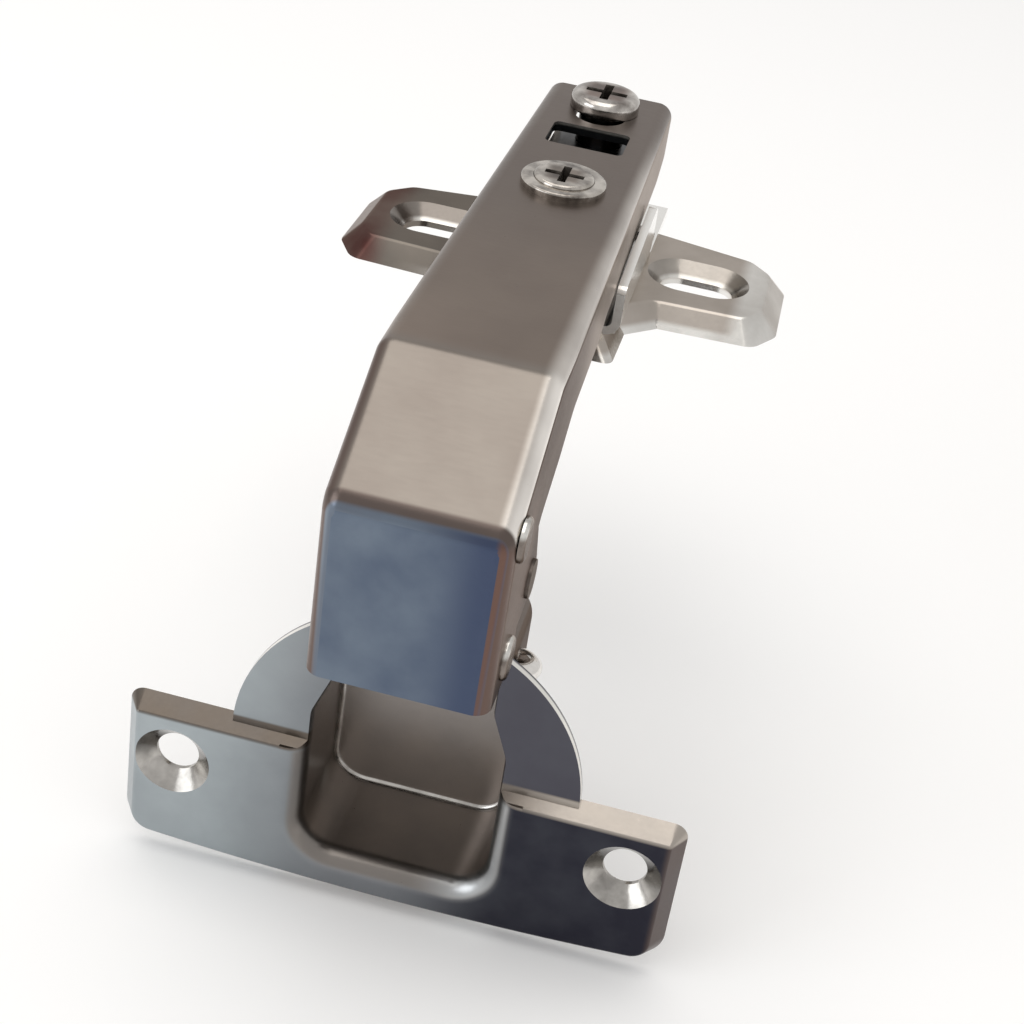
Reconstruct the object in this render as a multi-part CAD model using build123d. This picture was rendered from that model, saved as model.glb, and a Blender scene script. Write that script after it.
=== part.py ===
from build123d import *
import math
import os

# Concealed blind-corner hinge, slide-on and sprung, fully open: the cup hangs square to the arm.
# Millimetres. +Z up from the panel, +Y towards the tail of the arm, X across.
# Origin: middle of the line through the two plate slots, on the plate's mounting face.

# Mounting plate and its riveted saddle
SLOT_SPACING = 32.0
SLOT_TRAVEL = 3.6
SLOT_R = 2.6
SLOT_RIM_R = 4.35
PLATE_H = 2.5
PLATE_SHEET = 1.2
WING_HALF = 26.5
RIM_SLOPE = 42
SADDLE_SHEET = 1.0
CHEEK_FRONT_Y = -19.3
HUMP_TOP = 12.2
SMALL_RIVET_R = 0.93
SMALL_RIVET_HEAD_R = 1.45
SMALL_RIVETS = {"rear_left": (-7.9, 6.5), "rear_right": (7.9, 6.5),
                "front_left": (-3.6, -17.3), "front_right": (3.6, -17.3)}

# Arm: a channel folded from sheet, nose bent down towards the cup
SHEET = 1.2
ARM_TOP = 16.5
ARM_HALF = 9.0
TAIL_HALF = 7.8
TAIL_Y = 17.1
BEND_1 = (-56.2, ARM_TOP)
BEND_2 = (-71.4, 7.7)
NOSE_END = (-71.15, -12.05)
WALL_BOTTOM = 8.2
TAPER_Y = -50.0
LONG_EDGE_R = 1.8

# Fit of the saddle: its cheeks guide the arm from outside, its hump runs inside the channel
CHEEK_PLAY = 0.15
HUMP_PLAY = 0.4
taper_share = (TAIL_Y - CHEEK_FRONT_Y) / (TAIL_Y - TAPER_Y)
CHEEK_GAP_HALF = round(TAIL_HALF + (ARM_HALF - TAIL_HALF) * taper_share + CHEEK_PLAY, 1)
HUMP_HALF = TAIL_HALF - SHEET - HUMP_PLAY

# Pivots (Y, Z) with the hinge fully open
ARM_PIVOT_OUT = (-67.86, 6.13)
ARM_PIVOT_IN = (-57.5, -5.1)
SPRING_AXIS = (-66.3, -8.3)
RIVET_R = 1.2
RIVET_HEAD_R = 2.2
RIVET_HEAD_H = 0.6
FIT = 0.04

# Inner links: two plates just inside the walls of the arm
IN_LINK_SHEET = 1.0
LINK_GAP = 0.4
LINK_SPACE = 0.8
IN_LINK_INNER = ARM_HALF - SHEET - LINK_GAP - IN_LINK_SHEET

# Cup: hole line in the world, sizes in its own frame (u across, v up, n out of the face)
HOLE_LINE_Y = -62.4
HOLE_LINE_Z = -34.8
CUP_HOLE_HALF = 24.0
CUP_HOLE_R = 2.3
CUP_SINK_R = 4.04
FLANGE_HALF = 29.5
FLANGE_H = 2.2
FLANGE_SLOPE = 33
CUP_SHEET = 0.9
RING_R = 18.25
RING_V = 6.08
BORING_R = 17.5
WELL_HALF = ARM_HALF + 1.0
WELL_NECK_HALF = IN_LINK_INNER + IN_LINK_SHEET + 0.7
WELL_BOTTOM_V = -7.4
WELL_TOP_V = 22.2
WELL_DEPTH = 13.0
WELL_RIM_R = 2.2
FLARE_STEPS = 6
PIN_OUT = (19.43, -3.26)
PIN_IN = (18.94, -6.53)
WIRE_R = 1.0

# Links, stacked outwards from the middle: outer link, a space, inner link, a gap, wall of the arm
OUT_EYE_R = 1.7
IN_EYE_R = 1.9
OPEN_PIVOT_PLAY = 0.41
OUT_LINK_HALF = IN_LINK_INNER - LINK_SPACE

# Closing spring in the nose
SPRING_MEAN_R = 2.1
SPRING_WIRE_R = 0.44
SPRING_TURNS = 6.5
SPRING_PITCH = 1.0
SPRING_LEG = 6.5

# Adjusting and fixing screws (Y positions on the arm's middle line)
FIX_Y = 11.6
SIDE_Y = -13.6
FIX_SHANK_R = 2.9
FIX_HEAD_R = 4.2
FIX_HEAD_H = 2.0
SIDE_BODY_R = 3.4
SIDE_NECK_R = 1.9


def side_face(points, radii, closed=True):
    """Face in the (Y, Z) plane from corner points, each corner with its own radius."""
    return Plane.YZ * make_face(FilletPolyline(*points, radius=radii, close=closed))


def lift(face, height, taper=0):
    """Raises a flat face straight up, its sides leaning in by the taper."""
    return extrude(face, height, dir=(0, 0, 1), taper=taper)


def rod(y, z, x_from, x_to, radius):
    """Round bar along X."""
    return Pos((x_from + x_to) / 2, y, z) * Rot(0, 90, 0) * Cylinder(radius, abs(x_to - x_from))


def both_sides(solid):
    return solid + mirror(solid, Plane.YZ)


def cross_recess(radius, depth):
    """Cross-shaped driver recess, its mouth on Z = 0, tapering downwards."""
    bar = Rectangle(2 * radius, radius * 0.42) + Rectangle(radius * 0.42, 2 * radius)
    return mirror(lift(bar, depth, taper=8), Plane.XY)


def arm_plan(half_front, half_tail, y_tail):
    """Plan of the channel: parallel at the nose, narrowing evenly to the tail."""
    outline = Polyline((-half_front, -90), (half_front, -90), (half_front, TAPER_Y),
                       (half_tail, y_tail), (-half_tail, y_tail), (-half_front, TAPER_Y), close=True)
    return lift(Pos(0, 0, -40) * make_face(outline), 80)


def round_ridges(solid, ridge, radius):
    """Rounds the two long edges that run along the ridge line of a folded channel."""
    edges = [e for e in solid.edges() if abs(e.center().X) > TAIL_HALF - 2 * SHEET
             and ridge.distance_to(Vertex(0, e.center().Y, e.center().Z)) < 0.06]
    return fillet(edges, radius)


def build_arm():
    top = [(TAIL_Y, ARM_TOP), BEND_1, BEND_2, NOSE_END]
    lower = [(-61.6, -12.05), (-60.9, -4.0), (-57.0, 1.6), (-44.0, 6.7), (-30.0, 6.9),
             (-25.0, WALL_BOTTOM), (12.0, WALL_BOTTOM), (TAIL_Y, 9.6)]
    profile = side_face(top + lower, [0, 2, 3, 0, 1.2, 4, 4, 6, 4, 4, 6, 0.8])
    lobe = Plane.YZ * Pos(*ARM_PIVOT_IN) * Circle(2.8)
    lobe_web = side_face([(-61.5, -8.2), (-61.0, 0.5), (-57.5, 1.2), (-54.8, -4.4), (-57.2, -7.9)],
                         [0, 0, 1, 0, 0])
    body = extrude(profile + lobe + lobe_web, ARM_HALF + 1, both=True)
    body &= arm_plan(ARM_HALF, TAIL_HALF, TAIL_Y)
    ridge = Plane.YZ * FilletPolyline(*top, radius=[2, 3])
    body = round_ridges(body, ridge, LONG_EDGE_R)

    inner_top = [(TAIL_Y + 3, ARM_TOP - SHEET), (-55.87, ARM_TOP - SHEET), (-70.2, 7.0),
                 (-69.93, -20.0)]
    hollow = extrude(side_face(inner_top + [(-40, -20), (-40, -6), (TAIL_Y + 3, -6)],
                               [0, 1, 1.8, 0, 0, 0, 0]), ARM_HALF, both=True)
    hollow &= arm_plan(ARM_HALF - SHEET, TAIL_HALF - SHEET, TAIL_Y + 3)
    inner_ridge = Plane.YZ * FilletPolyline(*inner_top, radius=[1, 1.8])
    hollow = round_ridges(hollow, inner_ridge, LONG_EDGE_R - SHEET)
    body -= hollow

    body -= lift(Pos(0, 1.1, ARM_TOP - 2 * SHEET) * RectangleRounded(9.2, 6.6, 0.8), 3 * SHEET)
    body -= Pos(0, SIDE_Y, ARM_TOP) * Cylinder(4.0, 4 * SHEET)
    slot_half = FIX_SHANK_R + 0.2
    body -= Pos(0, 5.8 + slot_half, ARM_TOP) * Cylinder(slot_half, 4 * SHEET)
    body -= Pos(0, 5.8 + slot_half + 6, ARM_TOP) * Box(2 * slot_half, 12, 4 * SHEET)
    for pivot in (ARM_PIVOT_OUT, ARM_PIVOT_IN, SPRING_AXIS):
        body -= rod(*pivot, -ARM_HALF - 1, ARM_HALF + 1, RIVET_R)
    return body


def through_rivet(pivot):
    """Rivet across both walls of the nose: domed head on the right, left end peened flush."""
    head = rod(*pivot, ARM_HALF, ARM_HALF + RIVET_HEAD_H, RIVET_HEAD_R)
    rim = head.edges().filter_by(GeomType.CIRCLE).sort_by(Axis.X)[-1]
    head = fillet([rim], RIVET_HEAD_H * 0.7)
    return rod(*pivot, -ARM_HALF, ARM_HALF, RIVET_R) + head


def inner_pin(side):
    """Short rivet through one wall and one inner link, so that the outer link passes between."""
    pin = rod(*ARM_PIVOT_IN, IN_LINK_INNER - 0.05, ARM_HALF, RIVET_R)
    pin += rod(*ARM_PIVOT_IN, ARM_HALF, ARM_HALF + 0.3, RIVET_HEAD_R - 0.2)
    pin += rod(*ARM_PIVOT_IN, IN_LINK_INNER - 0.6, IN_LINK_INNER - 0.05, RIVET_HEAD_R - 0.1)
    return pin if side > 0 else mirror(pin, Plane.YZ)


def strap(points, radii, width):
    """Band of even width along a bent centre line in the (Y, Z) plane."""
    return Plane.YZ * trace(FilletPolyline(*points, radius=radii), line_width=width)


def to_world(v, n):
    return (HOLE_LINE_Y - n, HOLE_LINE_Z + v)


PIN_OUT_YZ = to_world(*PIN_OUT)
PIN_IN_YZ = to_world(*PIN_IN)


def near_outer_pin(dy, dz):
    """Point on a link's centre line that keeps its place beside the outer pin of the cup."""
    return (PIN_OUT_YZ[0] + dy, PIN_OUT_YZ[1] + dz)


def build_outer_link():
    """Channel-shaped link: two cheeks, a web at the back and plunged collars at the arm rivet."""
    path = [ARM_PIVOT_OUT, (-63.1, -3.0), near_outer_pin(-3.46, 1.47), PIN_OUT_YZ]
    side = strap(path, [6, 1.4], 2.6)
    side += Plane.YZ * Pos(*ARM_PIVOT_OUT) * Circle(OUT_EYE_R)
    side += Plane.YZ * Pos(*PIN_OUT_YZ) * Circle(2.1)
    link = extrude(side, OUT_LINK_HALF, both=True)
    back = strap([(y + 0.75, z) for y, z in path[:3]], [6], 1.1)
    core = extrude(side - back, OUT_LINK_HALF - SHEET, both=True)
    link -= core
    link -= extrude(side_face([(-75, 12), (-55, 12), (-55, 1.5), (-75, 1.5)], [0] * 4),
                    OUT_LINK_HALF - SHEET, both=True)
    link -= extrude(side_face([(-75, -9.6), (-55, -9.6), (-55, -20), (-75, -20)], [0] * 4),
                    OUT_LINK_HALF - SHEET, both=True)
    link += both_sides(rod(*ARM_PIVOT_OUT, OUT_LINK_HALF - SHEET, ARM_HALF - SHEET - 0.1, OUT_EYE_R))
    link -= rod(*ARM_PIVOT_OUT, -ARM_HALF, ARM_HALF, RIVET_R + FIT)
    link -= rod(*PIN_OUT_YZ, -ARM_HALF, ARM_HALF, WIRE_R + FIT)
    return link


def build_inner_link(side_sign):
    """Hooked plate that reaches round the outer pin of the cup to the inner one."""
    path = [ARM_PIVOT_IN, (-62.1, -9.8), near_outer_pin(-3.01, 2.57), near_outer_pin(-1.96, -0.63),
            near_outer_pin(-0.16, -2.58), PIN_IN_YZ]
    plate = strap(path, [1.6, 2, 2, 1.4], 1.6)
    plate += Plane.YZ * Pos(*ARM_PIVOT_IN) * Circle(2.5)
    plate += Plane.YZ * Pos(*PIN_IN_YZ) * Circle(IN_EYE_R)
    plate -= Plane.YZ * Pos(*ARM_PIVOT_IN) * Circle(RIVET_R + FIT)
    plate -= Plane.YZ * Pos(*PIN_IN_YZ) * Circle(WIRE_R + OPEN_PIVOT_PLAY)
    link = Pos(IN_LINK_INNER, 0, 0) * extrude(plate, IN_LINK_SHEET, dir=(1, 0, 0))
    return link if side_sign > 0 else mirror(link, Plane.YZ)


def build_spring():
    """Torsion spring round the lower rivet of the nose, legs up the front wall and to the link."""
    home = Plane(origin=(-SPRING_TURNS * SPRING_PITCH / 2, *SPRING_AXIS), x_dir=(0, -1, 0),
                 z_dir=(1, 0, 0))
    coil = home * Helix(pitch=SPRING_PITCH, height=SPRING_TURNS * SPRING_PITCH, radius=SPRING_MEAN_R)
    start, finish = coil @ 0, coil @ 1
    spring = sweep(Plane(start, z_dir=coil % 0) * RegularPolygon(SPRING_WIRE_R, 8), path=coil,
                   is_frenet=True)
    for end, lean in ((start, -1.0), (finish, 0.1)):
        leg = Line(end, end + Vector(0, lean, SPRING_LEG))
        spring += sweep(Plane(end, z_dir=leg % 0) * Circle(SPRING_WIRE_R - 0.01), path=leg)
        spring += Pos(*end) * Sphere(SPRING_WIRE_R + 0.01)
    return spring


def slot_prism(radius, z_from, z_to, taper=0):
    shape = SlotCenterToCenter(SLOT_TRAVEL, 2 * radius)
    return lift(Pos(0, 0, z_from) * shape, z_to - z_from, taper)


def build_plate():
    """Pressed tray: two wings with sloping rims and a countersunk slot in each."""
    right = [(7.0, 16.0), (9.6, 12.4), (15.0, 11.4), (22.6, 10.0), (26.3, 6.2), (WING_HALF, -5.8),
             (24.2, -9.8), (13.0, -10.4), (9.7, -13.6), (9.6, -21.4)]
    left = [(-x, y) for x, y in reversed(right)]
    outline = make_face(Polyline(*reversed(right + left), close=True))
    tray = lift(outline, PLATE_H, RIM_SLOPE)
    corners = [e for e in tray.edges() if 0.1 < e.center().Z < PLATE_H - 0.1]
    tips = [e for e in corners if abs(e.center().X) > 20]
    tray = fillet(tips, 3.0)
    tray = fillet([e for e in tray.edges().filter_by(GeomType.LINE)
                   if 0.1 < e.center().Z < PLATE_H - 0.1 and abs(e.center().X) < 16], 1.6)
    tray = fillet(tray.faces().sort_by(Axis.Z)[-1].edges(), 0.8)
    slope_sheet = PLATE_SHEET / math.cos(math.radians(RIM_SLOPE))
    tray -= lift(offset(outline, -slope_sheet, kind=Kind.INTERSECTION), PLATE_H - PLATE_SHEET,
                 RIM_SLOPE)
    for x in (-SLOT_SPACING / 2, SLOT_SPACING / 2):
        sink = SLOT_RIM_R - SLOT_R
        tray += Pos(x, 0, 0) * slot_prism(SLOT_RIM_R + 0.2, 0, PLATE_H - PLATE_SHEET + 0.3)
        tray -= Pos(x, 0, 0) * slot_prism(SLOT_R, -1, PLATE_H)
        tray -= Pos(x, 0, 0) * slot_prism(SLOT_R, PLATE_H - sink, PLATE_H, taper=-45)
    for x, y in SMALL_RIVETS.values():
        tray -= Pos(x, y, 0) * Cylinder(SMALL_RIVET_R + FIT / 2, 10)
    return tray


def build_saddle():
    """Folded saddle: floor, two upturned cheeks that guide the arm, and a hump for the screws."""
    half = SADDLE_SHEET / 2
    floor_z = PLATE_H + half
    cheek_x = CHEEK_GAP_HALF + half
    hump_x = HUMP_HALF - half
    crown_z = HUMP_TOP - half
    hat = [(-cheek_x - half, floor_z), (-hump_x, floor_z), (-hump_x, crown_z), (hump_x, crown_z),
           (hump_x, floor_z), (cheek_x + half, floor_z)]
    section = Plane.XZ * trace(FilletPolyline(*hat, radius=[1, 1.6, 1.6, 1]), SADDLE_SHEET)
    saddle = Pos(0, 15.9, 0) * extrude(section, 31.4, dir=(0, -1, 0))
    saddle += Pos(0, -17.1, floor_z) * Box(2 * cheek_x + SADDLE_SHEET, 3.2, SADDLE_SHEET)
    corner = [(cheek_x - 3.2, floor_z), (cheek_x, floor_z), (cheek_x, 11)]
    cheek = Plane.XZ * trace(FilletPolyline(*corner, radius=1.2), SADDLE_SHEET)
    cheek = Pos(0, 2.0, 0) * extrude(cheek, 2.0 - CHEEK_FRONT_Y, dir=(0, -1, 0))
    keep = side_face([(CHEEK_FRONT_Y, 2), (CHEEK_FRONT_Y, 8.4), (-16.5, 8.7), (2.0, 10.2), (2.0, 2)], [0, 1, 3, 2, 0])
    cheek &= extrude(keep, 12, both=True)
    saddle -= both_sides(Pos(cheek_x + half - 0.25, -8.6, floor_z) * Box(0.6, 21.4, 2))
    saddle += both_sides(cheek)
    saddle += Pos(0, FIX_Y, HUMP_TOP - 1.5) * Cylinder(4.2, 3.0)
    saddle -= Pos(0, FIX_Y, HUMP_TOP) * Cylinder(FIX_SHANK_R + FIT, 12)
    neck_half = SIDE_NECK_R + 0.2
    saddle -= Pos(0, -10.9, HUMP_TOP) * Cylinder(neck_half, 4)
    saddle -= Pos(0, -15.9, HUMP_TOP) * Box(2 * neck_half, 10, 4)
    for x, y in SMALL_RIVETS.values():
        saddle -= Pos(x, y, 0) * Cylinder(SMALL_RIVET_R + FIT / 2, 10)
    return saddle


def saddle_rivet(x, y):
    """Small rivet that joins the saddle to the tray, a low head above and below."""
    top = PLATE_H + SADDLE_SHEET
    under = PLATE_H - PLATE_SHEET
    rivet = Pos(x, y, (top + under) / 2) * Cylinder(SMALL_RIVET_R, top - under)
    head = Pos(x, y, top + 0.35) * Cylinder(SMALL_RIVET_HEAD_R, 0.7)
    head = chamfer([head.edges().filter_by(GeomType.CIRCLE).sort_by(Axis.Z)[-1]], 0.35)
    return rivet + head + Pos(x, y, under - 0.3) * Cylinder(SMALL_RIVET_HEAD_R - 0.05, 0.6)


def build_fixing_screw():
    seat = ARM_TOP + 0.05
    head = Pos(0, 0, seat + FIX_HEAD_H / 2) * Cylinder(FIX_HEAD_R, FIX_HEAD_H)
    head = fillet([head.edges().filter_by(GeomType.CIRCLE).sort_by(Axis.Z)[-1]], 1.0)
    screw = head + Pos(0, 0, (seat + 7.5) / 2) * Cylinder(FIX_SHANK_R, seat - 7.5)
    screw -= Pos(0, 0, seat + FIX_HEAD_H) * cross_recess(2.5, 1.7)
    return Pos(0, FIX_Y, 0) * screw


def build_bush():
    ring = Pos(0, 0, ARM_TOP + 0.45) * Cylinder(4.8, 0.9)
    ring = fillet([ring.edges().filter_by(GeomType.CIRCLE).sort_by(Axis.Z)[-1]], 0.3)
    bush = ring + Pos(0, 0, (14.3 + ARM_TOP) / 2) * Cylinder(3.98, ARM_TOP - 14.3)
    return Pos(0, SIDE_Y, 0) * (bush - Pos(0, 0, ARM_TOP) * Cylinder(SIDE_BODY_R + FIT, 12))


def build_side_screw():
    """Grub screw in the bush; its neck and foot hook into the slotted hump of the saddle."""
    body_bottom = HUMP_TOP + 0.12
    foot_top = HUMP_TOP - SADDLE_SHEET - 0.12
    body = Pos(0, 0, (body_bottom + 17.8) / 2) * Cylinder(SIDE_BODY_R, 17.8 - body_bottom)
    body = fillet([body.edges().filter_by(GeomType.CIRCLE).sort_by(Axis.Z)[-1]], 0.4)
    body += Pos(0, 0, (body_bottom + foot_top) / 2) * Cylinder(SIDE_NECK_R, body_bottom - foot_top)
    body += Pos(0, 0, foot_top - 0.55) * Cylinder(3.2, 1.1)
    body -= Pos(0, 0, 17.8) * cross_recess(2.2, 1.9)
    return Pos(0, SIDE_Y, 0) * body


def well_plan(grow=0.0):
    """Plan of the drawn well: wide for the nose of the arm, narrower where the links fold in."""
    right = [(WELL_HALF, WELL_BOTTOM_V), (WELL_HALF, 10.0), (WELL_NECK_HALF, 15.0),
             (WELL_NECK_HALF, WELL_TOP_V)]
    left = [(-u, v) for u, v in reversed(right)]
    plan = make_face(FilletPolyline(*(right + left), radius=[3.8, 3, 3, 2.5, 2.5, 3, 3, 3.8],
                                    close=True))
    return offset(plan, grow) if grow else plan


def build_cup():
    """Drawn cup: raised flange with two countersunk holes, flat ring and deep narrow well."""
    rim = Polyline((FLANGE_HALF, -11.4), (FLANGE_HALF, 6.8), (-FLANGE_HALF, 6.8), (-FLANGE_HALF, -11.4))
    bow = ThreePointArc((-FLANGE_HALF, -11.4), (0, -12.6), (FLANGE_HALF, -11.4))
    outline = make_face(rim + bow)
    low = outline.vertices().sort_by(Axis.Y)[:2]
    outline = fillet(low, 3.5)
    high = outline.vertices().sort_by(Axis.Y)[-2:]
    outline = fillet(high, 1.6)
    tray = lift(Pos(0, 0, -FLANGE_H) * outline, FLANGE_H, FLANGE_SLOPE)
    ridge = tray.faces().sort_by(Axis.Z)[-1].edges()
    tray = fillet(ridge, 0.5)
    tray -= lift(Pos(0, 0, -FLANGE_H) * offset(outline, -1.15), FLANGE_H - 1.0, FLANGE_SLOPE)
    for u in (-CUP_HOLE_HALF, CUP_HOLE_HALF):
        tray += Pos(u, 0, -FLANGE_H + 0.65) * Cylinder(CUP_SINK_R + 0.3, 1.3)
        tray -= Pos(u, 0, 0) * Cylinder(CUP_HOLE_R, 10)
        sink = CUP_SINK_R - CUP_HOLE_R
        tray -= Pos(u, 0, -sink / 2) * Cone(CUP_HOLE_R, CUP_SINK_R, sink)
    ring = Pos(0, RING_V, -FLANGE_H + CUP_SHEET / 2) * Cylinder(RING_R, CUP_SHEET)
    ring &= Pos(0, 6.1 + 15, 0) * Box(60, 30, 10)
    collar = lift(Pos(0, 0, -FLANGE_H) * well_plan(WELL_RIM_R + 0.6), FLANGE_H)
    collar &= Pos(0, 5.6 - 15, 0) * Box(60, 30, 10)
    wall = lift(Pos(0, 0, -WELL_DEPTH - CUP_SHEET) * well_plan(CUP_SHEET),
                WELL_DEPTH + CUP_SHEET - FLANGE_H + CUP_SHEET)
    wall = fillet(wall.faces().sort_by(Axis.Z)[0].edges(), 1.6)
    wall &= Pos(0, RING_V, -8) * Cylinder(BORING_R, 16)
    cup = tray + ring + collar + wall
    well = lift(Pos(0, 0, -WELL_DEPTH) * well_plan(), WELL_DEPTH + 1)
    well = fillet(well.faces().sort_by(Axis.Z)[0].edges(), 0.6)
    cup -= well
    turns = [math.radians(90 * i / FLARE_STEPS) for i in range(FLARE_STEPS + 1)]
    for low, high in zip(turns, turns[1:]):
        depth, rise = WELL_RIM_R * (1 - math.sin(low)), WELL_RIM_R * (math.sin(high) - math.sin(low))
        spread = WELL_RIM_R * (math.cos(low) - math.cos(high))
        band = well_plan(WELL_RIM_R * (1 - math.cos(low)))
        cup -= lift(Pos(0, 0, -depth) * band, rise + 0.001, -math.degrees(math.atan2(spread, rise)))
    for v, n in (PIN_OUT, PIN_IN):
        cup -= rod(v, n, -FLANGE_HALF, FLANGE_HALF, WIRE_R + FIT)
    return Pos(0, HOLE_LINE_Y, HOLE_LINE_Z) * Rot(90, 0, 0) * cup


def build_staple():
    """U of round wire: both legs cross the well as link pins, the bend sits outside its wall."""
    leg_from, leg_to = -9.4, WELL_NECK_HALF + CUP_SHEET + 0.1
    a = Vector(leg_to, *PIN_OUT_YZ)
    b = Vector(leg_to, *PIN_IN_YZ)
    middle = (a + b) * 0.5
    reach = (a - b).length / 2
    path = Polyline((leg_from, *PIN_OUT_YZ), a) + ThreePointArc(a, middle + Vector(reach, 0, 0), b)
    path += Line(b, (leg_from, *PIN_IN_YZ))
    return sweep(Plane((leg_from, *PIN_OUT_YZ), z_dir=(1, 0, 0)) * Circle(WIRE_R), path=path)


nodes = {
    "mounting_plate": build_plate(),
    "plate_saddle": build_saddle(),
    "fixing_screw": build_fixing_screw(),
    "hinge_arm": build_arm(),
    "adjust_bush": build_bush(),
    "side_adjust_screw": build_side_screw(),
    "outer_link": build_outer_link(),
    "outer_link_rivet": through_rivet(ARM_PIVOT_OUT),
    "inner_link_left": build_inner_link(-1),
    "inner_link_right": build_inner_link(1),
    "inner_pin_left": inner_pin(-1),
    "inner_pin_right": inner_pin(1),
    "spring_rivet": through_rivet(SPRING_AXIS),
    "closing_spring": build_spring(),
    "hinge_cup": build_cup(),
    "cup_staple": build_staple(),
}
for place, (x, y) in SMALL_RIVETS.items():
    nodes["saddle_rivet_" + place] = saddle_rivet(x, y)

os.makedirs("parts", exist_ok=True)
for name, solid in nodes.items():
    export_step(solid, f"parts/{name}.step")
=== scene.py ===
import math

import bpy
import numpy as np
from mathutils import Matrix, Vector


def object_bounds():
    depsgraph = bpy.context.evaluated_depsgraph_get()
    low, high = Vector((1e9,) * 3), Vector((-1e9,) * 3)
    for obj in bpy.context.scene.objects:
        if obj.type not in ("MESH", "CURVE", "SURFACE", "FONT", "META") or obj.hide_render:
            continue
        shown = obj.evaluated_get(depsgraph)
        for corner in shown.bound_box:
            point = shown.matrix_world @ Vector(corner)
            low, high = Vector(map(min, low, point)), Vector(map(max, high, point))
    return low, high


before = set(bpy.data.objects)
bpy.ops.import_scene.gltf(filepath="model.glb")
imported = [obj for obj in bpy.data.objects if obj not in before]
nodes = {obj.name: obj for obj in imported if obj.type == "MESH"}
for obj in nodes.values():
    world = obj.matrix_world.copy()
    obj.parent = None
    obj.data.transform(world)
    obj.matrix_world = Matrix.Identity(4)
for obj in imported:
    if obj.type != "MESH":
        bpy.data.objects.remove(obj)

cad_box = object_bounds()


# Hinge arm: a channel folded from 1.2 mm sheet steel, satin nickel plated, that hangs on the
# plate's saddle by two screws. Its colours are painted reflections and painted light: the top dark
# and brownish, the sloping facet pale and warm, the front of the nose a cool blue.
def plating_group():
    """Satin plating: broad mottling in the colour, fine grain, stretched along one axis, in the
    roughness and the height."""
    group = bpy.data.node_groups.new("satin_plating", "ShaderNodeTree")
    for label, kind in (("Colour", "Color"), ("Worn and glint colour", "Color"), ("Mottle", "Float"),
                        ("Mottle scale", "Float"), ("Gloss", "Float"), ("Grain stretch", "Vector")):
        group.interface.new_socket(label, in_out="INPUT", socket_type="NodeSocket" + kind)
    for label, kind in (("Colour", "Color"), ("Roughness", "Float"), ("Height", "Float")):
        group.interface.new_socket(label, in_out="OUTPUT", socket_type="NodeSocket" + kind)
    new, link = group.nodes.new, group.links.new
    given, out = new("NodeGroupInput"), new("NodeGroupOutput")
    place = new("ShaderNodeTexCoord")

    broad = new("ShaderNodeTexNoise")
    broad.inputs["Detail"].default_value = 4.0
    link(given.outputs["Mottle scale"], broad.inputs["Scale"])
    link(place.outputs["Object"], broad.inputs["Vector"])
    spread = new("ShaderNodeMapRange")
    spread.inputs["From Min"].default_value = 0.35
    spread.inputs["From Max"].default_value = 0.75
    link(broad.outputs["Fac"], spread.inputs["Value"])
    amount = new("ShaderNodeMath")
    amount.operation = "MULTIPLY"
    link(spread.outputs["Result"], amount.inputs[0])
    link(given.outputs["Mottle"], amount.inputs[1])
    mix = new("ShaderNodeMix")
    mix.data_type = "RGBA"
    link(amount.outputs["Value"], mix.inputs["Factor"])
    link(given.outputs["Colour"], mix.inputs["A"])
    link(given.outputs["Worn and glint colour"], mix.inputs["B"])
    link(mix.outputs["Result"], out.inputs["Colour"])

    stretch = new("ShaderNodeVectorMath")
    stretch.operation = "MULTIPLY"
    link(place.outputs["Object"], stretch.inputs[0])
    link(given.outputs["Grain stretch"], stretch.inputs[1])
    fine = new("ShaderNodeTexNoise")
    fine.inputs["Scale"].default_value = 2600.0
    fine.inputs["Detail"].default_value = 3.0
    link(stretch.outputs["Vector"], fine.inputs["Vector"])
    link(fine.outputs["Fac"], out.inputs["Height"])
    rough = new("ShaderNodeMath")
    rough.operation = "MULTIPLY_ADD"
    rough.inputs[1].default_value = 0.14
    link(fine.outputs["Fac"], rough.inputs[0])
    link(given.outputs["Gloss"], rough.inputs[2])
    link(rough.outputs["Value"], out.inputs["Roughness"])
    return group


satin_plating = plating_group()


def zone_mask(tree, position, limits):
    """Socket with the product of the limits. Each limit (axis, from, to) rises smoothly from 0 to 1
    between two object coordinates in metres."""
    mask = None
    for axis, start, end in limits:
        step = tree.nodes.new("ShaderNodeMapRange")
        step.interpolation_type = "SMOOTHSTEP"
        step.inputs["From Min"].default_value = start
        step.inputs["From Max"].default_value = end
        tree.links.new(position.outputs[axis], step.inputs["Value"])
        if mask is None:
            mask = step.outputs["Result"]
            continue
        both = tree.nodes.new("ShaderNodeMath")
        both.operation = "MULTIPLY"
        tree.links.new(mask, both.inputs[0])
        tree.links.new(step.outputs["Result"], both.inputs[1])
        mask = both.outputs["Value"]
    return mask


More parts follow.
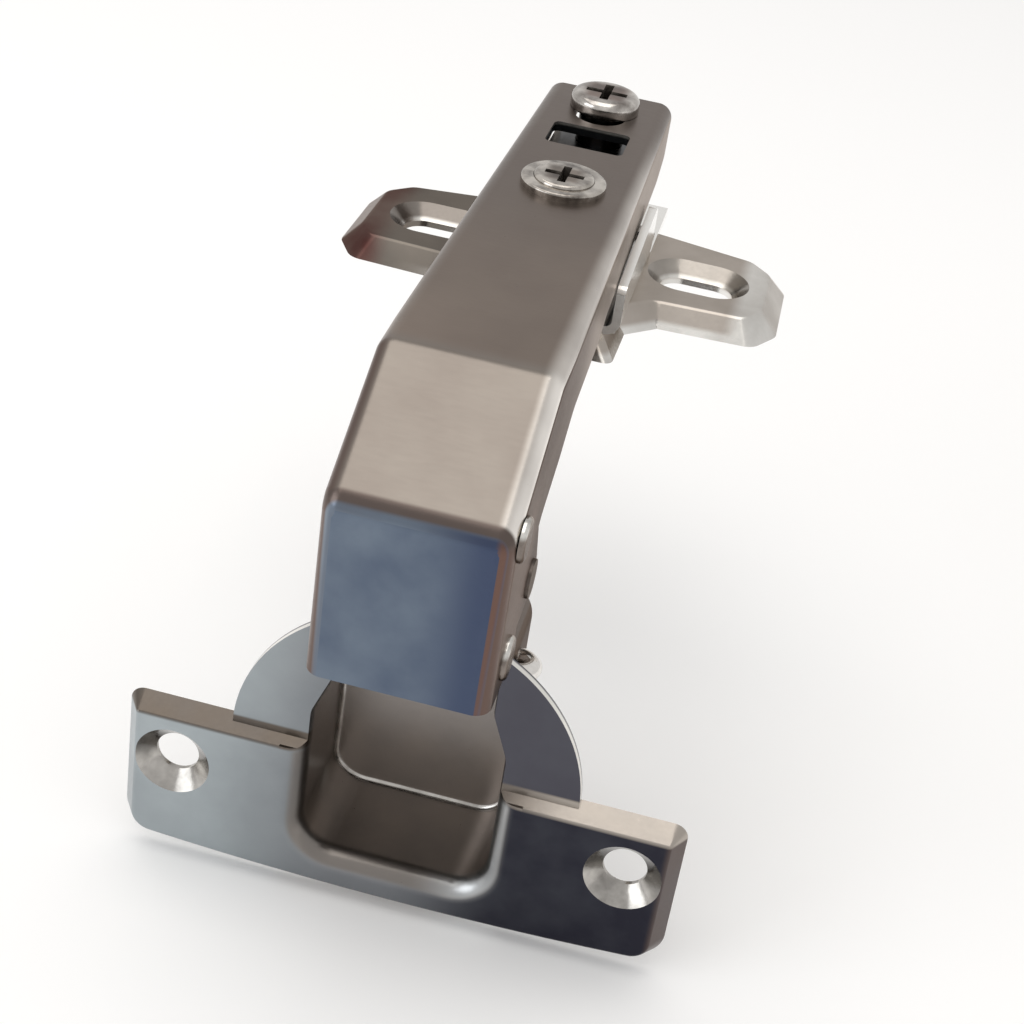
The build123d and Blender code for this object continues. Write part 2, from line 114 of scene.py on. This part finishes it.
def plated_steel(name, tone, worn_and_glint, mottle=0.3, scale=120.0, gloss=0.25, grain=(1, 1, 1), bump=0.04,
                 edge_tint=(1, 1, 1), zones=()):
    """Nickel-plated steel. Each zone (colour, limits) is blended over the ones before it; the edge
    tint is the colour of the sheen at a grazing angle."""
    material = bpy.data.materials.new(name)
    material.use_nodes = True
    tree = material.node_tree
    new, link = tree.nodes.new, tree.links.new
    shader = tree.nodes["Principled BSDF"]
    shader.inputs["Metallic"].default_value = 1.0
    shader.inputs["Specular Tint"].default_value = (*edge_tint, 1)
    plate = new("ShaderNodeGroup")
    plate.node_tree = satin_plating
    for label, value in (("Colour", (*tone, 1)), ("Worn and glint colour", (*worn_and_glint, 1)), ("Mottle", mottle),
                         ("Mottle scale", scale), ("Gloss", gloss), ("Grain stretch", grain)):
        plate.inputs[label].default_value = value
    if zones:
        place, position = new("ShaderNodeTexCoord"), new("ShaderNodeSeparateXYZ")
        link(place.outputs["Object"], position.inputs["Vector"])
        colour = None
        for zone_colour, limits in zones:
            mix = new("ShaderNodeMix")
            mix.data_type = "RGBA"
            link(zone_mask(tree, position, limits), mix.inputs["Factor"])
            if colour is None:
                mix.inputs["A"].default_value = (*tone, 1)
            else:
                link(colour, mix.inputs["A"])
            mix.inputs["B"].default_value = (*zone_colour, 1)
            colour = mix.outputs["Result"]
        link(colour, plate.inputs["Colour"])
    link(plate.outputs["Colour"], shader.inputs["Base Color"])
    link(plate.outputs["Roughness"], shader.inputs["Roughness"])
    if bump:
        relief = new("ShaderNodeBump")
        relief.inputs["Strength"].default_value = bump
        relief.inputs["Distance"].default_value = 0.0001
        link(plate.outputs["Height"], relief.inputs["Height"])
        link(relief.outputs["Normal"], shader.inputs["Normal"])
    return material


def dress(name, material, angle=32):
    """Puts the finish on a CAD node and shades it smooth, apart from edges sharper than the angle."""
    piece = nodes[name]
    piece.data.materials.clear()
    piece.data.materials.append(material)
    piece.data.polygons.foreach_set("use_smooth", np.ones(len(piece.data.polygons), bool))
    weld = piece.modifiers.new("joined", "WELD")
    weld.merge_threshold = 1e-6
    split = piece.modifiers.new("sharp_edges", "EDGE_SPLIT")
    split.split_angle = math.radians(angle)
    even = piece.modifiers.new("even_shading", "WEIGHTED_NORMAL")
    even.keep_sharp = True


def dress_faces(name, material, choose):
    """Puts a further finish on the faces of a CAD node whose (centre, normal) the test picks."""
    mesh = nodes[name].data
    mesh.materials.append(material)
    count = len(mesh.polygons)
    centre, normal = np.empty(count * 3), np.empty(count * 3)
    mesh.polygons.foreach_get("center", centre)
    mesh.polygons.foreach_get("normal", normal)
    slots = np.empty(count, np.int32)
    mesh.polygons.foreach_get("material_index", slots)
    slots[choose(centre.reshape(-1, 3).T, normal.reshape(-1, 3).T)] = len(mesh.materials) - 1
    mesh.polygons.foreach_set("material_index", slots)


def within(values, low, high):
    """True where a value lies between the two bounds."""
    return (values > low) & (values < high)


first_bend = ("Y", -0.0538, -0.0566)
second_bend = ("Y", -0.0708, -0.0711)
arm_plating_and_painted_light = plated_steel(
    "arm_plating_and_painted_light", (0.165, 0.135, 0.116), (0.115, 0.085, 0.075), mottle=0.25, gloss=0.24,
    grain=(0.2, 1, 1),
    zones=[
        # Top: painted paler towards the nose as painted light, most of all on the left, with a painted
        # highlight along its right edge, where it is also rubbed.
        ((0.210, 0.170, 0.142), [("Y", -0.015, -0.040)]),
        ((0.26, 0.21, 0.175), [("Y", -0.040, -0.055), ("X", 0.004, -0.008)]),
        ((0.60, 0.56, 0.52), [("X", 0.0066, 0.0084), ("Y", 0.012, -0.008)]),
        # Facet: painted pale and warm as a painted reflection, with a painted highlight along its
        # right edge and painted shade along its left one.
        ((0.242, 0.215, 0.190), [first_bend]),
        ((0.92, 0.88, 0.83), [first_bend, ("X", 0.0068, 0.0086)]),
        ((0.14, 0.10, 0.085), [first_bend, ("X", -0.0074, -0.0085)]),
        # The second bend and the two upright edges of the nose are painted brown as painted
        # reflection.
        ((0.125, 0.100, 0.090), [("Y", -0.0699, -0.0703)]),
        ((0.140, 0.094, 0.078), [("Y", -0.0676, -0.0684), ("Z", 0.0072, 0.0060)]),
        # Nose: a painted blue reflection, darker to the right, with a brown strip of painted
        # reflection on its right and a painted highlight on its left.
        ((0.155, 0.190, 0.240), [second_bend]),
        ((0.058, 0.076, 0.132), [second_bend, ("X", -0.002, 0.0070)]),
        ((0.155, 0.092, 0.074), [second_bend, ("X", 0.0071, 0.0079)]),
        ((0.36, 0.42, 0.48), [second_bend, ("X", -0.0078, -0.0088)])])
# Right wall of the arm: painted pale as painted light at the tail, with painted shade towards the nose
# and a brown band low down at the nose.
arm_wall = plated_steel(
    "arm_wall", (0.56, 0.53, 0.49), (0.34, 0.31, 0.28), mottle=0.4, gloss=0.24,
    edge_tint=(0.52, 0.46, 0.43),
    zones=[((0.105, 0.092, 0.086), [("Y", -0.030, -0.048)]),
           ((0.225, 0.188, 0.170), [("Z", 0.010, 0.004), ("Y", -0.058, -0.062)])])
# Front face of the nose: a painted blue reflection, with painted shade darkening it to the right.
nose_front = plated_steel(
    "nose_front", (0.150, 0.185, 0.235), (0.075, 0.098, 0.150), mottle=0.75, scale=150.0,
    gloss=0.26, zones=[((0.056, 0.073, 0.128), [("X", 0.0005, 0.0070)])])
# Faces round the window in the arm: painted shade, nearly black, with a painted highlight along their
# top edge.
window_edge = plated_steel(
    "window_edge", (0.07, 0.075, 0.08), (0.04, 0.04, 0.04),
    zones=[((0.80, 0.77, 0.72), [("Z", 0.01605, 0.01625)])])
window_middle_y, window_reach_x, window_reach_y = 0.0011, 0.0050, 0.0037
dress("hinge_arm", arm_plating_and_painted_light)
dress_faces("hinge_arm", arm_wall, lambda c, n: n[0] > 0.94)
dress_faces("hinge_arm", window_edge,
            lambda c, n: (abs(c[0]) < window_reach_x) & (abs(c[1] - window_middle_y) < window_reach_y)
            & (c[2] > 0.0150) & (abs(n[2]) < 0.3))
dress_faces("hinge_arm", nose_front, lambda c, n: (n[1] < -0.97) & (c[1] < -0.0709) & (c[2] < 0.0068))


# Adjusting screw at the front of the arm: a bush pressed into the arm's top and the threaded
# screw in it, both bright; its foot hooks into the saddle's slot and sets the arm sideways.
def worn_centre(x, y, reach):
    """Limits of a soft square patch round an upright axis, reach metres from it each way."""
    return [("X", x - reach, x - reach / 2), ("X", x + reach, x + reach / 2),
            ("Y", y - reach, y - reach / 2), ("Y", y + reach, y + reach / 2)]


def recess_test(axis_y, radius, low, high):
    """Test for the faces of a cross recess: near the screw's axis and between two heights."""
    return lambda c, n: (np.hypot(c[0], c[1] - axis_y) < radius) & within(c[2], low, high)


side_screw_y = -0.0136
bright_nickel = plated_steel(
    "bright_nickel", (0.62, 0.58, 0.53), (0.075, 0.062, 0.055), mottle=1.0, scale=480.0,
    gloss=0.10, bump=0.06)
side_screw_finish = plated_steel(
    "side_screw_finish", (0.62, 0.58, 0.53), (0.075, 0.062, 0.055), mottle=1.0, scale=480.0,
    gloss=0.10, bump=0.06, zones=[((0.24, 0.20, 0.17), worn_centre(0.0, side_screw_y, 0.0026))])
# Cross recesses of the screws: painted shade, nearly black, with painted glints from the mottle.
recess_shade_and_glints = plated_steel(
    "recess_shade_and_glints", (0.07, 0.06, 0.052), (0.42, 0.39, 0.35), mottle=0.9, scale=900.0, gloss=0.3)
dress("adjust_bush", bright_nickel)
dress("side_adjust_screw", side_screw_finish)
dress_faces("side_adjust_screw", recess_shade_and_glints, recess_test(side_screw_y, 0.0022, 0.0155, 0.01775))


# Fixing screw at the tail: a bright pan head with a cross recess, worn brown round it, on a
# shank painted dark as painted shade. It clamps the arm down on the saddle.
fixing_screw_y = 0.0116
fixing_screw_plating_and_shank_shade = plated_steel(
    "fixing_screw_plating_and_shank_shade", (0.70, 0.67, 0.63), (0.085, 0.066, 0.058), mottle=1.0, scale=420.0,
    gloss=0.10, bump=0.06,
    zones=[((0.22, 0.16, 0.135), worn_centre(0.0, fixing_screw_y, 0.0034)),
           # Painted shade on the shank below the head.
           ((0.060, 0.066, 0.072), [("Z", 0.0160, 0.0155)])])
dress("fixing_screw", fixing_screw_plating_and_shank_shade)
dress_faces("fixing_screw", recess_shade_and_glints, recess_test(fixing_screw_y, 0.0025, 0.0165, 0.0185))


# Mounting plate: a pressed tray with two wings and a sunk slot in each. The right wing is bright,
# with a painted highlight at its tip, the left one darkened with painted shade and a faint reddish
# bloom at its outer end; a painted highlight runs along the lower edge.
slot_x, slot_straight, slot_rim_radius = 0.016, 0.0018, 0.00437
plate_plating_and_painted_light = plated_steel(
    "plate_plating_and_painted_light", (0.50, 0.455, 0.41), (0.25, 0.22, 0.19), mottle=0.5, gloss=0.16, bump=0.01,
    edge_tint=(0.72, 0.68, 0.65),
    # Painted shade on the left wing, painted highlights at the right tip and along the lower edge, and
    # a reddish bloom at the left end.
    zones=[((0.140, 0.125, 0.110), [("X", 0.0, -0.010)]),
           ((0.84, 0.83, 0.80), [("X", 0.0202, 0.0222)]),
           ((0.86, 0.85, 0.82), [("Z", 0.0010, 0.0004), ("X", -0.019, 0.0)]),
           ((0.088, 0.038, 0.034), [("X", -0.0195, -0.0230)])])
# Sunk rims of the slots: painted shade on the left wing's slot and a painted highlight along their top
# lip.
slot_rim = plated_steel(
    "slot_rim", (0.40, 0.37, 0.335), (0.22, 0.20, 0.18), mottle=0.6, scale=300.0, gloss=0.16,
    zones=[((0.24, 0.215, 0.195), [("X", -0.008, -0.010)]),
           ((0.80, 0.78, 0.74), [("Z", 0.0013, 0.0009)])])
dress("mounting_plate", plate_plating_and_painted_light)
dress_faces("mounting_plate", slot_rim,
            lambda c, n: (np.hypot(np.maximum(abs(abs(c[0]) - slot_x) - slot_straight, 0), c[1])
                          < slot_rim_radius) & (c[2] > 0.0006) & (n[2] < 0.98))


# Saddle: folded from sheet, held on the plate by four small rivets. Its cheeks stand up beside
# the arm, painted near white as a painted highlight; its hump lies inside the arm, painted nearly
# black as painted shade where the window shows it.
hump_reach, hump_foot = 0.0072, 0.0060
saddle_plating_painted_lit = plated_steel(
    "saddle_plating_painted_lit", (0.98, 0.97, 0.94), (0.66, 0.63, 0.59), mottle=0.2, gloss=0.16, bump=0.01)
saddle_hump_painted_shade = plated_steel(
    "saddle_hump_painted_shade", (0.100, 0.104, 0.108), (0.060, 0.060, 0.062), mottle=0.5, scale=300.0)
dress("plate_saddle", saddle_plating_painted_lit)
dress_faces("plate_saddle", saddle_hump_painted_shade, lambda c, n: (abs(c[0]) < hump_reach) & (c[2] > hump_foot))
for corner in ("rear_left", "rear_right", "front_left", "front_right"):
    dress("saddle_rivet_" + corner, bright_nickel)


# Links: the channel-shaped outer link and the two hooked inner plates with their short pins fold
# the cup round the nose of the arm. Plain plated steel that sees little light.
link_finish = plated_steel(
    "link_finish", (0.24, 0.21, 0.19), (0.14, 0.12, 0.11), gloss=0.26, edge_tint=(0.42, 0.38, 0.35))
for name in ("outer_link", "inner_link_left", "inner_link_right", "inner_pin_left",
             "inner_pin_right"):
    dress(name, link_finish)


# Rivets across the nose: the upper one carries the outer link, the lower one the spring. Their
# heads on the right have a painted highlight along the top and painted shade below it.
for name in ("outer_link_rivet", "spring_rivet"):
    top = max(corner.co.z for corner in nodes[name].data.vertices)
    dress(name, plated_steel(
        name + "_finish", (0.27, 0.235, 0.21), (0.085, 0.068, 0.060), mottle=0.8, scale=480.0,
        gloss=0.14, edge_tint=(0.45, 0.40, 0.37),
        # A painted highlight along the top of each head.
        zones=[((0.88, 0.87, 0.83), [("Z", top - 0.0013, top - 0.0007)])]))


# Closing spring: a torsion spring of plain steel wire on the lower rivet, inside the nose; it
# draws the door shut.
spring_finish = plated_steel("spring_finish", (0.36, 0.34, 0.31), (0.16, 0.14, 0.13), gloss=0.28)
dress("closing_spring", spring_finish, angle=45)


# Cup: drawn in one piece from sheet, with a raised screw flange, a flat ring that lies on the door
# and a deep narrow well. Flange cool, with painted shade making it nearly black on the right; the
# well brown and in shade, with painted highlights along its rim.
hole_x, hole_z, countersink_radius = 0.024, -0.0348, 0.00406
ring_z, ring_edge_radius = -0.02872, 0.0182
flange_top_wall = [("Z", -0.0297, -0.0293), ("Z", -0.0275, -0.0279)]
across_well = [("X", -0.0128, -0.0106), ("X", 0.0128, 0.0106)]
well_rim = [("Y", -0.0624, -0.0621), ("Z", -0.029, -0.030)]
cup_plating_and_painted_light = plated_steel(
    "cup_plating_and_painted_light", (0.38, 0.42, 0.44), (0.13, 0.14, 0.155), gloss=0.24,
    zones=[
        # Flange: painted shade, darker from the left to the right; brown at its right end.
        ((0.21, 0.22, 0.235), [("X", -0.022, -0.005)]),
        ((0.026, 0.026, 0.037), [("X", -0.001, 0.012)]),
        # Ring: painted shade on the right, a little lighter than the flange's.
        ((0.080, 0.079, 0.096), [("X", 0.002, 0.009), ("Z", -0.0284, -0.0280)]),
        ((0.100, 0.074, 0.066), [("X", 0.0274, 0.0284)]),
        # Upper wall of the flange: brown, with a painted highlight on the right.
        ((0.135, 0.112, 0.092), flange_top_wall),
        ((0.42, 0.38, 0.34), flange_top_wall + [("X", 0.008, 0.018)]),
        # Rounded rim of the well: grey, with a painted highlight on the right.
        ((0.225, 0.205, 0.188), well_rim + across_well),
        ((0.46, 0.47, 0.475), well_rim + [("X", 0.002, 0.009)] + across_well),
        # Walls and floor of the well.
        ((0.390, 0.350, 0.320), [("Y", -0.0609, -0.0598)] + across_well),
        ((0.325, 0.293, 0.270), [("Y", -0.0502, -0.0496)])])
well_outside = plated_steel(
    "well_outside", (0.25, 0.22, 0.20), (0.15, 0.13, 0.12), gloss=0.26, edge_tint=(0.34, 0.30, 0.28))
# Countersinks of the screw holes: pale, with painted shade over their upper part.
countersink = plated_steel(
    "countersink", (0.52, 0.50, 0.47), (0.16, 0.15, 0.14), mottle=0.8, scale=420.0, gloss=0.12,
    zones=[((0.115, 0.108, 0.100), [("Z", -0.0356, -0.0336)])])
# Outer edge of the ring: dark, with a painted highlight along its front lip.
ring_edge = plated_steel(
    "ring_edge", (0.13, 0.13, 0.145), (0.08, 0.08, 0.09),
    zones=[((0.86, 0.84, 0.80), [("Y", -0.0603, -0.0606)])])
# Bend round the floor of the well: a pale painted highlight, brightest as a painted glint at its right
# end.
floor_bend = plated_steel(
    "floor_bend", (0.62, 0.60, 0.57), (0.22, 0.20, 0.18), mottle=0.8, scale=400.0, gloss=0.14,
    zones=[((0.98, 0.97, 0.95), [("X", 0.0050, 0.0062)])])
dress("hinge_cup", cup_plating_and_painted_light)
dress_faces("hinge_cup", well_outside,
            lambda c, n: (abs(c[0]) > 0.0080) & (n[0] * np.sign(c[0]) > 0.3) & (c[1] > -0.0598))
dress_faces("hinge_cup", countersink,
            lambda c, n: (np.hypot(abs(c[0]) - hole_x, c[2] - hole_z) < countersink_radius)
            & (c[1] > -0.0623))
dress_faces("hinge_cup", ring_edge,
            lambda c, n: (np.hypot(c[0], c[2] - ring_z) > ring_edge_radius) & (abs(n[1]) < 0.5)
            & (c[2] > -0.0284))
dress_faces("hinge_cup", floor_bend,
            lambda c, n: within(c[1], -0.0501, -0.0494) & within(abs(n[1]), 0.15, 0.95)
            & (c[2] < -0.02))


# Wire staple: one U of bright drawn wire through the walls of the well; its legs are link pins.
wire_finish = plated_steel(
    "wire_finish", (0.82, 0.80, 0.77), (0.34, 0.28, 0.24), mottle=0.5, scale=300.0, gloss=0.12,
    bump=0)
dress("cup_staple", wire_finish, angle=45)


# Floor, light and camera: a plain white floor just under the hinge, soft lamps and an even sky.
# The camera is the one fitted to the photo, 1024 pixels wide.
floor_level, floor_reach = cad_box[0][2] - 0.0006, 3
floor_mesh = bpy.data.meshes.new("floor")
floor_mesh.from_pydata(
    [(x * floor_reach, y * floor_reach, floor_level) for x, y in ((-1, -1), (1, -1), (1, 1), (-1, 1))],
    [], [(0, 1, 2, 3)])
floor = bpy.data.objects.new("floor", floor_mesh)
bpy.context.scene.collection.objects.link(floor)
floor_paint = bpy.data.materials.new("floor_paint")
floor_paint.use_nodes = True
floor_shader = floor_paint.node_tree.nodes["Principled BSDF"]
floor_shader.inputs["Base Color"].default_value = (0.97, 0.97, 0.97, 1)
floor_shader.inputs["Roughness"].default_value = 0.9
floor_shader.inputs["Specular IOR Level"].default_value = 0.1
floor_mesh.materials.append(floor_paint)

world = bpy.data.worlds.new("studio")
world.use_nodes = True
world.node_tree.nodes["Background"].inputs["Color"].default_value = (1.0, 0.99, 0.98, 1)
world.node_tree.nodes["Background"].inputs["Strength"].default_value = 0.75
bpy.context.scene.world = world


def soft_lamp(name, place, aim, size, power, colour):
    """Square area lamp at a place, turned towards the aim point (metres, watts)."""
    lamp = bpy.data.lights.new(name, "AREA")
    lamp.shape = "RECTANGLE"
    lamp.size, lamp.size_y = size, size
    lamp.energy = power
    lamp.color = colour
    rig = bpy.data.objects.new(name, lamp)
    rig.location = place
    rig.rotation_euler = (Vector(aim) - Vector(place)).to_track_quat("-Z", "Y").to_euler()
    bpy.context.scene.collection.objects.link(rig)


soft_lamp("overhead", (-0.10, -0.05, 0.60), (0, -0.04, 0), 0.6, 1.5, (1.0, 0.97, 0.93))
soft_lamp("left_front", (-0.50, -0.45, 0.25), (0, -0.05, -0.02), 0.4, 1.0, (0.94, 0.97, 1.0))

photo_width, focal_pixels, centre_x, centre_y = 1024, 1965.568, 541.72, 408.899
camera_data = bpy.data.cameras.new("camera")
camera_data.sensor_width = 36.0
camera_data.lens = focal_pixels * camera_data.sensor_width / photo_width
camera_data.shift_x = (photo_width / 2 - centre_x) / photo_width
camera_data.shift_y = (centre_y - photo_width / 2) / photo_width
camera_data.clip_start = 0.01
camera = bpy.data.objects.new("camera", camera_data)
right = Vector((0.9676692, 0.2082874, 0.1422419))
down = Vector((0.2264437, -0.4690563, -0.8536448))
ahead = Vector((-0.1110840, 0.8582555, -0.5010567))
camera.matrix_world = Matrix.Translation((0.027454, -0.21210, 0.103858)) @ Matrix(
    [(right[i], -down[i], -ahead[i]) for i in range(3)]).to_4x4()
bpy.context.scene.collection.objects.link(camera)
bpy.context.scene.camera = camera
bpy.context.scene.view_settings.view_transform = "Standard"
